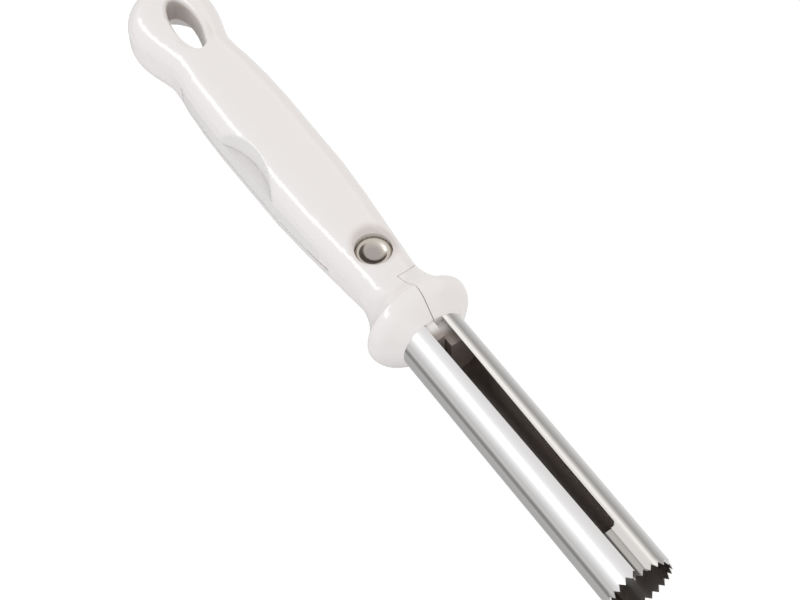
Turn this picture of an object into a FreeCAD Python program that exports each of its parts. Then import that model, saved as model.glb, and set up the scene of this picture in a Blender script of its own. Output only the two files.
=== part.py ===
import FreeCAD, Part
import math
import os

import Sketcher

# An apple corer that opens: a toothed steel tube in two halves, a moulded handle that carries one half,
# and a moulded jaw on a rivet that carries the other and is worked by a lever in the handle's side.
# The origin is on the tube's axis where the tube leaves the collar. +X runs to the teeth, +Z along the
# rivet and +Y to the side that the jaw opens to. All sizes are in millimetres and degrees.
sizes = {
    "tubeDiameter": 19.0,
    "sheetThickness": 0.6,
    "tubeReach": 89.9,
    "tubeRoot": 14.0,
    "slotHalfAngle": 13.0,
    "slotRootHalf": 2.75,
    "slotTaperEnd": 4.0,
    "lipLength": 16.5,
    "lipTuck": 9.0,
    "lipTurn": 1.7,
    "lipStep": 4.0,
    "lipGap": 0.1,
    "slotCorner": 1.6,
    "toothCount": 24,
    "toothDepth": 1.5,
    "bevelLength": 2.2,
    "bevelLand": 0.12,
    "millOver": 1.0,
    "fixedSetback": 0.9,
    "collarRadius": 15.5,
    "collarCrest": 7.7,
    "collarBackRadius": 1.6,
    "collarFrontRadius": 5.0,
    "neckRadius": 9.2,
    "neckReach": 21.5,
    "plugReach": 7.8,
    "plugFixedReach": 5.4,
    "plugFlat": 6.6,
    "pinSetback": 28.0,
    "rivetRadius": 2.5,
    "rivetBore": 1.6,
    "rivetFit": 0.05,
    "rivetHeadRadius": 5.1,
    "rivetHeadHeight": 1.35,
    "rivetLandRadius": 4.5,
    "rivetDishRadius": 3.8,
    "rivetDishFloor": 2.3,
    "rivetDishDepth": 0.8,
    "rivetEdge": 0.6,
    "rivetSeat": 7.0,
    "rivetBoreFloor": 1.0,
    "rivetStudEnd": 0.5,
    "recessGap": 0.1,
    "recessRim": 1.0,
    "recessRimDepth": 0.9,
    "hubRadius": 7.2,
    "hubHalfHeight": 2.6,
    "hubClearance": 0.3,
    "tongueStart": 3.0,
    "tongueHalfWidth": 7.9,
    "tongueOverlap": 2.0,
    "shoulderRadius": 11.3,
    "partingGap": 0.3,
    "seamGap": 0.16,
    "seamFlare": 0.25,
    "jawRange": 12.0,
    "jawMargin": 2.0,
    "leverReach": 82.0,
    "leverInside": 1.5,
    "leverCorner": 1.2,
    "leverInset": 0.6,
    "leverElbow": 16.0,
    "leverOverlap": 2.0,
    "leverNeckSetback": 2.5,
    "leverNeckInset": 0.8,
    "leverShoulder": 12.8,
    "leverNeckAngle": 29.0,
    "notchSetback": 73.5,
    "notchRadius": 24.0,
    "notchFloor": 8.0,
    "notchRim": 1.2,
    "hangPlace": 122.65,
    "hangLength": 11.9,
    "hangRearRadius": 2.6,
    "hangFrontRadius": 1.9,
    "hangRimDepth": 1.2,
    "hangRimAngle": 38.0,
    "pastForm": 5.0,
}

# Cross-sections of the handle from its tail to the neck: distance behind the collar's front, half
# width, half height and corner radius.
stations = {
    "tailTip": (145.6, 3.4, 4.4, 3.0),
    "tailRound": (143.4, 7.2, 7.5, 6.2),
    "tailSide": (139.4, 10.9, 9.8, 8.0),
    "lobe": (131.8, 13.1, 11.0, 8.6),
    "lobeFront": (124.0, 11.9, 10.6, 8.2),
    "rearNeck": (116.6, 10.1, 10.2, 7.8),
    "neckRise": (112.0, 10.3, 10.4, 7.9),
    "shoulder": (107.0, 10.95, 10.7, 8.0),
    "palm": (98.0, 11.6, 11.2, 8.4),
    "bulgeBack": (87.6, 11.85, 11.5, 8.6),
    "bulgeFront": (59.4, 11.6, 11.35, 8.5),
    "grip": (47.0, 10.8, 10.95, 8.2),
    "pinSide": (28.0, 9.2, 10.2, 8.0),
    "neck": (21.5, 8.8, 9.7, 8.3),
    "neckEnd": (14.0, 8.8, 9.3, 8.3),
}
stationParts = ("Back", "Width", "Height", "Corner")
lobeStations = list(stations)[:6]
gripStations = list(stations)[5:]
leverStations = gripStations[:-2]

for stationName, stationSizes in stations.items():
    for partName, partSize in zip(stationParts, stationSizes):
        sizes[stationName + partName] = partSize

doc = FreeCAD.newDocument("AppleCorer")
sheet = doc.addObject("Spreadsheet::Sheet", "dims")
for row, (alias, size) in enumerate(sizes.items(), start=1):
    sheet.set("A%d" % row, alias)
    sheet.set("B%d" % row, str(size))
    sheet.setAlias("B%d" % row, alias)
doc.recompute()

up = FreeCAD.Vector(0, 0, 1)
cutLeast = 0.01  # the least volume, in cubic millimetres, that a cut has to take away
near = 0.02  # how far off its place a wanted edge may be


def size_of(alias):
    return float(sheet.get(alias))


def bind(thing, **expressions):
    for path, expression in expressions.items():
        thing.setExpression(path.replace("_", "."), expression)
    return thing


def new_body(name):
    body = doc.addObject("PartDesign::Body", name)
    body.Label = name
    return body


def origin_plane(body, role):
    for feature in body.Origin.OriginFeatures:
        if feature.Role == role:
            return feature
    raise ValueError(role)


def body_sketch(body, name, role, offset=None):
    sketch = body.newObject("Sketcher::SketchObject", name)
    sketch.AttachmentSupport = (origin_plane(body, role), [""])
    sketch.MapMode = "FlatFace"
    if offset:
        sketch.setExpression("AttachmentOffset.Base.z", offset)
    return sketch


def limit(sketch, expression, *arguments):
    number = sketch.addConstraint(Sketcher.Constraint(*arguments))
    sketch.setExpression("Constraints[%d]" % number, expression)
    return number


def place_point(sketch, edge, end, across, upward):
    # puts one end of an edge at two distances from the sketch's origin
    geometry = sketch.Geometry[edge]
    point = geometry.StartPoint if end == 1 else geometry.EndPoint
    limit(sketch, across, "DistanceX", -1, 1, edge, end, point.x)
    limit(sketch, upward, "DistanceY", -1, 1, edge, end, point.y)


def draw_outline(sketch, points):
    # a closed outline of straight edges through points given as expressions
    count = len(points)
    spread = size_of("tubeRoot")
    start = [
        FreeCAD.Vector(spread * math.cos(turn), spread * math.sin(turn), 0)
        for turn in (2 * math.pi * i / count for i in range(count))
    ]
    for i in range(count):
        sketch.addGeometry(Part.LineSegment(start[i], start[(i + 1) % count]), False)
    for i in range(count):
        sketch.addConstraint(Sketcher.Constraint("Coincident", i, 2, (i + 1) % count, 1))
    for i, (across, upward) in enumerate(points):
        place_point(sketch, i, 1, across, upward)


def draw_circle(sketch, radius, across="0", upward="0"):
    rough = size_of("rivetHeadRadius")
    aside = size_of("recessGap")
    sketch.addGeometry(Part.Circle(FreeCAD.Vector(aside, aside, 0), up, rough), False)
    limit(sketch, radius, "Radius", 0, rough)
    limit(sketch, across, "DistanceX", -1, 1, 0, 3, aside)
    limit(sketch, upward, "DistanceY", -1, 1, 0, 3, aside)


def draw_grip_section(sketch, station):
    # a rectangle centred on the sketch's origin with four equal round corners
    width, height, corner = ["dims.%s%s" % (station, part) for part in stationParts[1:]]
    halfWidth, halfHeight, radius = stations[station][1:]
    inX = halfWidth - radius
    inY = halfHeight - radius
    corners = [(inX, inY, 0), (-inX, inY, 90), (-inX, -inY, 180), (inX, -inY, 270)]
    arcs = []
    for x, y, turn in corners:
        circle = Part.Circle(FreeCAD.Vector(x, y, 0), up, radius)
        arcs.append(Part.ArcOfCircle(circle, math.radians(turn), math.radians(turn + 90)))
    for i in range(4):
        sketch.addGeometry(arcs[i], False)
        sketch.addGeometry(Part.LineSegment(arcs[i].EndPoint, arcs[(i + 1) % 4].StartPoint), False)
    for i in range(8):
        sketch.addConstraint(Sketcher.Constraint("Tangent", i, 2, (i + 1) % 8, 1))
    for i in (1, 5):
        sketch.addConstraint(Sketcher.Constraint("Horizontal", i))
    for i in (3, 7):
        sketch.addConstraint(Sketcher.Constraint("Vertical", i))
    for i in (2, 4, 6):
        sketch.addConstraint(Sketcher.Constraint("Equal", 0, i))
    limit(sketch, corner, "Radius", 0, radius)
    limit(sketch, height, "DistanceY", -1, 1, 1, 1, halfHeight)
    limit(sketch, height, "DistanceY", 5, 1, -1, 1, halfHeight)
    limit(sketch, width, "DistanceX", -1, 1, 7, 1, halfWidth)
    limit(sketch, width, "DistanceX", 3, 1, -1, 1, halfWidth)


def draw_lever_section(sketch, station):
    # a rectangle as wide as the grip inside its skin, with four cut corners
    width = "(dims.%sWidth - dims.leverInset)" % station
    inX = "(%s - dims.leverCorner)" % width
    height = "dims.hubHalfHeight"
    inY = "(%s - dims.leverCorner)" % height
    corner = [(width, inY), (inX, height)]
    upper = corner + [("-" + across, upward) for across, upward in reversed(corner)]
    lower = [("-" + across, "-" + upward) for across, upward in corner]
    draw_outline(sketch, upper + lower + [(across, "-" + upward) for across, upward in reversed(corner)])


def draw_sector(sketch, inner, outer, start, end, guess):
    # part of a ring round the sketch's origin; angles run from the sketch's X axis
    innerRadius, outerRadius, startTurn, endTurn = guess
    first = math.radians(startTurn)
    last = math.radians(endTurn)
    centre = FreeCAD.Vector(0, 0, 0)
    outerArc = Part.ArcOfCircle(Part.Circle(centre, up, outerRadius), first, last)
    innerArc = Part.ArcOfCircle(Part.Circle(centre, up, innerRadius), first, last)
    sketch.addGeometry(outerArc, False)
    sketch.addGeometry(innerArc, False)
    sketch.addGeometry(Part.LineSegment(innerArc.StartPoint, outerArc.StartPoint), False)
    sketch.addGeometry(Part.LineSegment(innerArc.EndPoint, outerArc.EndPoint), False)
    for i in (0, 1):
        sketch.addConstraint(Sketcher.Constraint("Coincident", i, 3, -1, 1))
        sketch.addConstraint(Sketcher.Constraint("Coincident", 2, 2 - i, i, 1))
        sketch.addConstraint(Sketcher.Constraint("Coincident", 3, 2 - i, i, 2))
    limit(sketch, outer, "Radius", 0, outerRadius)
    limit(sketch, inner, "Radius", 1, innerRadius)
    for line, turn, expression in ((2, startTurn, start), (3, endTurn, end)):
        sketch.addConstraint(Sketcher.Constraint("PointOnObject", -1, 1, line))
        limit(sketch, expression, "Angle", line, math.radians(turn))


def pad(body, name, sketch, length, midplane=False):
    feature = body.newObject("PartDesign::Pad", name)
    feature.Profile = sketch
    feature.Midplane = midplane
    feature.setExpression("Length", length)
    return feature


def pocket_through(body, name, sketch, reverse=False, both=False):
    before = body.Shape.Volume
    feature = body.newObject("PartDesign::Pocket", name)
    feature.Profile = sketch
    feature.Type = "ThroughAll"
    feature.Midplane = both
    feature.Reversed = reverse
    doc.recompute()
    if body.Shape.Volume > before - cutLeast:
        raise ValueError(name + " cuts nothing")
    return feature


def turned_cut(body, name, sketch, reference):
    before = body.Shape.Volume
    feature = body.newObject("PartDesign::Groove", name)
    feature.Profile = sketch
    feature.ReferenceAxis = reference
    feature.Angle = 360.0
    doc.recompute()
    if body.Shape.Volume > before - cutLeast:
        raise ValueError(name + " cuts nothing")
    return feature


def loft(body, name, stationNames, draw, ruled):
    sections = []
    for station in stationNames:
        sketch = body_sketch(body, name + station[0].upper() + station[1:], "YZ_Plane", "-dims.%sBack" % station)
        draw(sketch, station)
        sections.append(sketch)
    feature = body.newObject("PartDesign::AdditiveLoft", name)
    feature.Profile = sections[0]
    feature.Sections = sections[1:]
    feature.Ruled = ruled
    doc.recompute()


def fillet_edges(body, name, radius, wanted):
    doc.recompute()
    base = body.Tip
    names = ["Edge%d" % (i + 1) for i, edge in enumerate(base.Shape.Edges) if wanted(edge)]
    if not names:
        raise ValueError(name + " finds no edge")
    feature = body.newObject("PartDesign::Fillet", name)
    feature.Base = (base, names)
    feature.setExpression("Radius", radius)
    doc.recompute()
    return feature


def edge_points(edge, count=7):
    first, last = edge.FirstParameter, edge.LastParameter
    return [edge.valueAt(first + (last - first) * i / (count - 1)) for i in range(count)]


def prism(name, points, half):
    sketch = doc.addObject("Sketcher::SketchObject", name + "Outline")
    draw_outline(sketch, points)
    solid = doc.addObject("Part::Extrusion", name)
    solid.Base = sketch
    solid.DirMode = "Custom"
    solid.Dir = up
    solid.Solid = True
    solid.Symmetric = True
    solid.setExpression("LengthFwd", "2 * (%s)" % half)
    return solid


def pin_cylinder(name, radius, half):
    solid = doc.addObject("Part::Cylinder", name)
    return bind(
        solid,
        Radius=radius,
        Height="2 * (%s)" % half,
        Placement_Base_x="-dims.pinSetback",
        Placement_Base_z="-(%s)" % half,
    )


def cut(name, base, tool):
    solid = doc.addObject("Part::Cut", name)
    solid.Base = base
    solid.Tool = tool
    return solid


def fuse(name, *shapes):
    solid = doc.addObject("Part::MultiFuse", name)
    solid.Shapes = list(shapes)
    return solid


def common(name, base, tool):
    solid = doc.addObject("Part::Common", name)
    solid.Base = base
    solid.Tool = tool
    return solid


outerRadius = "dims.tubeDiameter / 2"
innerRadius = "dims.tubeDiameter / 2 - dims.sheetThickness"
slotHalf = "dims.hubHalfHeight + dims.hubClearance"
tubeOuter = size_of("tubeDiameter") / 2
tubeInner = tubeOuter - size_of("sheetThickness")
slotTurn = size_of("slotHalfAngle")


def build_outer_form():
    # the whole moulding's outside, before it is parted into handle and jaw
    body = new_body("outer_form")
    # the lobe is one smooth skin, and the grip's slow taper is straight from section to section
    loft(body, "lobe", lobeStations, draw_grip_section, ruled=False)
    loft(body, "grip", gripStations, draw_grip_section, ruled=True)
    draw_collar(body)
    cut_hanging_hole(body)
    for side, sign in (("Top", ""), ("Bottom", "-")):
        sketch = body_sketch(body, "recess%sProfile" % side, "XZ_Plane")
        sketch.setExpression("AttachmentOffset.Base.x", "-dims.pinSetback")
        draw_outline(sketch, recess_profile(sign))
        turned_cut(body, "recess" + side, sketch, (sketch, ["V_Axis"]))
    sketch = body_sketch(body, "rivetHoleCircle", "XY_Plane")
    draw_circle(sketch, "dims.rivetRadius", "-dims.pinSetback")
    pocket_through(body, "rivetHole", sketch, both=True)
    # the finger notch opens the upper wall only
    sketch = body_sketch(body, "notchCircle", "XY_Plane")
    draw_circle(sketch, "dims.notchRadius", "-dims.notchSetback", "-(dims.notchFloor + dims.notchRadius)")
    pocket_through(body, "notch", sketch, reverse=True)
    round_notch(body)
    return body


def recess_profile(sign):
    # half of a rivet recess: a round seat with a coned rim, open past the handle's skin
    radius = "dims.rivetHeadRadius + dims.recessGap"
    skin = "dims.pinSideHeight"
    past = "dims.collarRadius"
    flare = "(%s - %s + dims.recessRimDepth) * dims.recessRim / dims.recessRimDepth" % (past, skin)
    heights = ("dims.rivetSeat", "dims.rivetSeat", "%s - dims.recessRimDepth" % skin, past, past)
    widths = ("0", radius, radius, "%s + %s" % (radius, flare), "0")
    return [(width, "%s(%s)" % (sign, height)) for width, height in zip(widths, heights)]


def draw_collar(body):
    sketch = body_sketch(body, "collarProfile", "XY_Plane")
    neck = (-size_of("neckReach"), size_of("neckRadius"))
    crest = (-size_of("collarCrest"), size_of("collarRadius"))
    back = size_of("collarBackRadius")
    front = size_of("collarFrontRadius")
    # the flare is one arc that leaves the neck level and meets the crest's back arc
    run = crest[0] - neck[0]
    rise = crest[1] - back - neck[1]
    flare = (run * run + rise * rise - back * back) / (2 * (rise + back))
    meet = math.atan2(run, flare - rise)
    flareCentre = FreeCAD.Vector(neck[0], neck[1] + flare, 0)
    backCentre = FreeCAD.Vector(crest[0], crest[1] - back, 0)
    frontCentre = FreeCAD.Vector(crest[0], crest[1] - front, 0)
    gap = math.hypot(frontCentre.x, frontCentre.y - tubeOuter)
    leave = math.atan2(-frontCentre.x, tubeOuter - frontCentre.y) - math.acos(front / gap)
    down = -math.pi / 2
    sketch.addGeometry(Part.ArcOfCircle(Part.Circle(flareCentre, up, flare), down, down + meet), False)
    half = math.pi / 2
    sketch.addGeometry(Part.ArcOfCircle(Part.Circle(backCentre, up, back), half, half + meet), False)
    sketch.addGeometry(Part.ArcOfCircle(Part.Circle(frontCentre, up, front), half - leave, half), False)
    face = sketch.Geometry[2].StartPoint
    corner = FreeCAD.Vector(0, tubeOuter, 0)
    axisFront = FreeCAD.Vector(0, 0, 0)
    axisBack = FreeCAD.Vector(neck[0], 0, 0)
    neckPoint = FreeCAD.Vector(neck[0], neck[1], 0)
    for ends in ((face, corner), (corner, axisFront), (axisFront, axisBack), (axisBack, neckPoint)):
        sketch.addGeometry(Part.LineSegment(*ends), False)
    sketch.addConstraint(Sketcher.Constraint("Tangent", 0, 2, 1, 2))
    sketch.addConstraint(Sketcher.Constraint("Tangent", 1, 1, 2, 2))
    sketch.addConstraint(Sketcher.Constraint("Tangent", 2, 1, 3, 1))
    for first, second in ((3, 4), (4, 5), (5, 6)):
        sketch.addConstraint(Sketcher.Constraint("Coincident", first, 2, second, 1))
    sketch.addConstraint(Sketcher.Constraint("Perpendicular", 6, 2, 0, 1))
    sketch.addConstraint(Sketcher.Constraint("Vertical", 6))
    sketch.addConstraint(Sketcher.Constraint("Horizontal", 5))
    sketch.addConstraint(Sketcher.Constraint("Coincident", 4, 2, -1, 1))
    sketch.addConstraint(Sketcher.Constraint("Vertical", 4))
    limit(sketch, outerRadius, "DistanceY", -1, 1, 4, 1, tubeOuter)
    limit(sketch, "-dims.neckReach", "DistanceX", -1, 1, 0, 1, neck[0])
    limit(sketch, "dims.neckRadius", "DistanceY", -1, 1, 0, 1, neck[1])
    limit(sketch, "dims.collarBackRadius", "Radius", 1, back)
    limit(sketch, "dims.collarFrontRadius", "Radius", 2, front)
    limit(sketch, "-dims.collarCrest", "DistanceX", -1, 1, 1, 3, crest[0])
    limit(sketch, "-dims.collarCrest", "DistanceX", -1, 1, 2, 3, crest[0])
    limit(sketch, "dims.collarRadius - dims.collarBackRadius", "DistanceY", -1, 1, 1, 3, crest[1] - back)
    feature = body.newObject("PartDesign::Revolution", "collar")
    feature.Profile = sketch
    feature.ReferenceAxis = (sketch, ["H_Axis"])
    feature.Angle = 360.0
    doc.recompute()


def cut_hanging_hole(body):
    pocket_through(body, "hangingHole", draw_hanging_hole(body, "hangingHoleOutline", None), both=True)
    for side, sign in (("Top", ""), ("Bottom", "-")):
        # a coned rim, which widens from just under the skin outwards
        offset = "%s(dims.lobeFrontHeight - dims.hangRimDepth)" % sign
        sketch = draw_hanging_hole(body, "hangingRim%sOutline" % side, offset)
        feature = body.newObject("PartDesign::Pocket", "hangingRim" + side)
        feature.Profile = sketch
        feature.Reversed = side == "Top"
        feature.Type = "Length"
        feature.setExpression("Length", "dims.pastForm")
        feature.setExpression("TaperAngle", "dims.hangRimAngle")
        doc.recompute()


def draw_hanging_hole(body, name, offset):
    # two round ends of different size joined by their common tangents
    sketch = body_sketch(body, name, "XY_Plane", offset)
    rear = size_of("hangRearRadius")
    front = size_of("hangFrontRadius")
    apart = size_of("hangLength")
    rearX = -size_of("hangPlace") - apart / 2
    lean = math.asin((rear - front) / apart)
    half = math.pi / 2
    rearCircle = Part.Circle(FreeCAD.Vector(rearX, 0, 0), up, rear)
    frontCircle = Part.Circle(FreeCAD.Vector(rearX + apart, 0, 0), up, front)
    rearArc = Part.ArcOfCircle(rearCircle, half - lean, 3 * half + lean)
    frontArc = Part.ArcOfCircle(frontCircle, -half + lean, half - lean)
    sketch.addGeometry(rearArc, False)
    sketch.addGeometry(Part.LineSegment(rearArc.EndPoint, frontArc.StartPoint), False)
    sketch.addGeometry(frontArc, False)
    sketch.addGeometry(Part.LineSegment(frontArc.EndPoint, rearArc.StartPoint), False)
    for i in range(4):
        sketch.addConstraint(Sketcher.Constraint("Tangent", i, 2, (i + 1) % 4, 1))
    for i in (0, 2):
        sketch.addConstraint(Sketcher.Constraint("PointOnObject", i, 3, -1))
    limit(sketch, "dims.hangRearRadius", "Radius", 0, rear)
    limit(sketch, "dims.hangFrontRadius", "Radius", 2, front)
    limit(sketch, "-dims.hangPlace - dims.hangLength / 2", "DistanceX", -1, 1, 0, 3, rearX)
    limit(sketch, "dims.hangLength", "DistanceX", 0, 3, 2, 3, apart)
    return sketch


def round_notch(body):
    notchX = -size_of("notchSetback")
    notchY = -size_of("notchFloor") - size_of("notchRadius")

    def on_notch_rim(edge):
        points = edge_points(edge)
        around = all(abs(math.hypot(p.x - notchX, p.y - notchY) - size_of("notchRadius")) < near for p in points)
        return around and max(p.z for p in points) > size_of("hubHalfHeight")

    fillet_edges(body, "notchRim", "dims.notchRim", on_notch_rim)


def blade_sector(body, name, inner, outer, start, end, offset, guess):
    sketch = body_sketch(body, name, "YZ_Plane", offset)
    draw_sector(sketch, inner, outer, start, end, guess)
    return sketch


def grind_and_tooth(body, reachText):
    # the edge is ground to a bevel outside, then notched all round
    doc.recompute()
    sketch = body_sketch(body, "bevelProfile", "XY_Plane")
    land = "dims.tubeDiameter / 2 - dims.sheetThickness + dims.bevelLand"
    points = [
        ("%s - dims.bevelLength" % reachText, outerRadius),
        (reachText, land),
        ("%s + dims.millOver" % reachText, land),
        ("%s + dims.millOver" % reachText, outerRadius + " + dims.millOver"),
        ("%s - dims.bevelLength" % reachText, outerRadius + " + dims.millOver"),
    ]
    draw_outline(sketch, points)
    turned_cut(body, "bevel", sketch, (sketch, ["H_Axis"]))
    sketch = body_sketch(body, "toothGap", "XY_Plane")
    halfGap = "dims.tubeDiameter / 2 * sin(180deg / dims.toothCount)"
    points = [
        ("%s - dims.toothDepth" % reachText, "0"),
        (reachText, halfGap),
        ("%s + dims.millOver" % reachText, halfGap),
        ("%s + dims.millOver" % reachText, "-" + halfGap),
        (reachText, "-" + halfGap),
    ]
    draw_outline(sketch, points)
    gap = body.newObject("PartDesign::Pocket", "gap")
    gap.Profile = sketch
    gap.Type = "Length"
    gap.Midplane = True
    gap.setExpression("Length", "2 * dims.tubeDiameter")
    ring = body.newObject("PartDesign::PolarPattern", "teeth")
    ring.Originals = [gap]
    ring.Axis = (origin_plane(body, "X_Axis"), [""])
    ring.Angle = 180.0
    ring.setExpression("Occurrences", "dims.toothCount / 2 + 1")
    body.Tip = ring
    doc.recompute()


def taper_slot(body, sign):
    # the slot's side leans in from its root to its end, and meets the sheet's own edge short of the lips
    doc.recompute()
    sketch = body_sketch(body, "slotTaper", "XY_Plane")
    end = "dims.tubeReach - dims.lipLength - dims.slotTaperEnd"
    endHalf = "dims.tubeDiameter / 2 * sin(dims.slotHalfAngle * 1deg) - dims.sheetThickness / 4"
    points = [
        ("-dims.tubeRoot - dims.millOver", "0"),
        ("-dims.tubeRoot - dims.millOver", sign + "dims.slotRootHalf"),
        (end, "%s(%s)" % (sign, endHalf)),
        (end, "0"),
    ]
    draw_outline(sketch, points)
    pocket_through(body, "slotTaperCut", sketch, both=True)


def build_fixed_blade():
    body = new_body("fixed_blade")
    start = "90 + dims.slotHalfAngle"
    end = "-90 - dims.slotHalfAngle"
    guess = (tubeInner, tubeOuter, 90 + slotTurn, 270 - slotTurn)
    sketch = blade_sector(body, "sheetSector", innerRadius, outerRadius, start, end, "-dims.tubeRoot", guess)
    tip = "dims.tubeReach - dims.fixedSetback"
    pad(body, "sheet", sketch, "dims.tubeRoot + " + tip)
    taper_slot(body, "-")
    grind_and_tooth(body, tip)
    return body


def build_moving_blade():
    # the second half, whose lips close both slots at the cutting end and tuck under the first half
    body = new_body("moving_blade")
    start = "dims.slotHalfAngle - 90"
    end = "90 - dims.slotHalfAngle"
    guess = (tubeInner, tubeOuter, slotTurn - 90, 90 - slotTurn)
    sketch = blade_sector(body, "sheetSector", innerRadius, outerRadius, start, end, "-dims.tubeRoot", guess)
    pad(body, "sheet", sketch, "dims.tubeRoot + dims.tubeReach")
    taper_slot(body, "")
    lipOuter = innerRadius + " - dims.lipGap"
    lipInner = lipOuter + " - dims.sheetThickness"
    gap = size_of("lipGap")
    sheetSize = size_of("sheetThickness")
    stepEnd = 90 - size_of("lipTurn")
    step = stepEnd - size_of("lipStep")
    tuck = 90 + slotTurn + size_of("lipTuck")
    low = tubeInner - gap - sheetSize
    base = "dims.tubeReach - dims.lipLength"
    endText = "90 - dims.lipTurn"
    stepText = "90 - dims.lipTurn - dims.lipStep"
    tuckText = "90 + dims.slotHalfAngle + dims.lipTuck"
    parts = (
        ("lipBridge", innerRadius, outerRadius, end, endText, (tubeInner, tubeOuter, 90 - slotTurn, stepEnd)),
        ("lipStep", lipInner, outerRadius, stepText, endText, (low, tubeOuter, step, stepEnd)),
        ("lip", lipInner, lipOuter, stepText, tuckText, (low, tubeInner - gap, step, tuck)),
    )
    lips = []
    for name, inner, outer, first, last, sectorGuess in parts:
        sketch = blade_sector(body, name + "Sector", inner, outer, first, last, base, sectorGuess)
        lips.append(pad(body, name, sketch, "dims.lipLength"))
    doc.recompute()
    mirrored = body.newObject("PartDesign::Mirrored", "lowerLips")
    mirrored.Originals = lips
    mirrored.MirrorPlane = (origin_plane(body, "XY_Plane"), [""])
    body.Tip = mirrored
    doc.recompute()
    baseX = size_of("tubeReach") - size_of("lipLength")

    def at_slot_corner(edge):
        # the short edges through the sheet where a slot's side meets its end
        points = edge_points(edge)
        square = all(abs(p.x - baseX) < near for p in points)
        turns = [math.atan2(abs(p.z), p.y) for p in points]
        onSide = all(abs(turn - math.radians(90 - slotTurn)) * tubeOuter < near for turn in turns)
        return square and onSide and edge.Length < 2 * sheetSize

    fillet_edges(body, "slotCorners", "dims.slotCorner", at_slot_corner)
    grind_and_tooth(body, "dims.tubeReach")
    return body


def lever_prisms(prefix, half, clearance, shoulder, neckAngle):
    # plan of the lever, or with clearance and the swept neck, of the space that it moves in
    pinX = "-dims.pinSetback"
    elbow = pinX + " - dims.leverElbow"
    inside = "-(dims.leverInside - %s)" % clearance
    tail = pinX + " - dims.leverReach - %s" % clearance
    outside = "-(dims.collarRadius + dims.pastForm)"
    over = elbow + " + dims.leverOverlap"
    far = "(dims.leverElbow / cos(%s))" % neckAngle
    neck = prism(
        prefix + "_neck",
        [
            (pinX, "dims.hubRadius - dims.leverNeckInset + %s" % clearance),
            (pinX + " - dims.leverNeckSetback", "dims.hubRadius - dims.leverNeckInset + %s" % clearance),
            (elbow, inside),
            (elbow, "-%s * sin(%s)" % (far, neckAngle)),
            (pinX, "0"),
        ],
        half,
    )
    bar = prism(
        prefix + "_bar",
        [
            (over, inside),
            (tail, inside),
            (tail, outside),
            (pinX, outside),
            (pinX, "-dims.hubRadius"),
            (over, "-dims.hubRadius"),
        ],
        half,
    )
    around = pin_cylinder(prefix + "_clear", shoulder, "dims.collarRadius")
    return neck, cut(prefix + "_skin", bar, around)


def build_handle(outer, blade):
    range_text = "(dims.leverNeckAngle + dims.jawRange + dims.jawMargin) * 1deg"
    shoulder = "dims.leverShoulder - dims.partingGap"
    tongueEnd = "dims.shoulderRadius + dims.tongueOverlap - dims.pinSetback"
    past = "dims.collarRadius + dims.pastForm"
    front = "dims.plugReach + dims.pastForm"
    neck, skin = lever_prisms("channel", slotHalf, "dims.partingGap", shoulder, range_text)
    hub = pin_cylinder("hub_pocket", "dims.hubRadius + dims.partingGap", slotHalf)
    tongue = prism(
        "tongue_pocket",
        [
            ("-dims.pinSetback", "-dims.seamGap / 2"),
            (tongueEnd, "-dims.seamGap / 2"),
            (tongueEnd, past),
            ("-dims.pinSetback", past),
        ],
        slotHalf,
    )
    side = prism(
        "jaw_side",
        [
            ("-dims.pinSetback", "-dims.seamGap / 2"),
            (front, "-dims.seamGap / 2"),
            (front, past),
            ("-dims.pinSetback", past),
        ],
        past,
    )
    shoulderDisc = pin_cylinder("shoulder_disc", "dims.shoulderRadius", past + " + dims.pastForm")
    jawSide = cut("jaw_space", side, shoulderDisc)
    plugEnd = prism(
        "plug_end",
        [("dims.plugFixedReach", "-" + past), (front, "-" + past), (front, past), ("dims.plugFixedReach", past)],
        past,
    )
    tools = fuse("handle_tools", neck, skin, hub, tongue, jawSide, plugEnd, blade)
    handle = cut("handle", outer, tools)
    handle.Label = "handle"
    return handle


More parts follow.
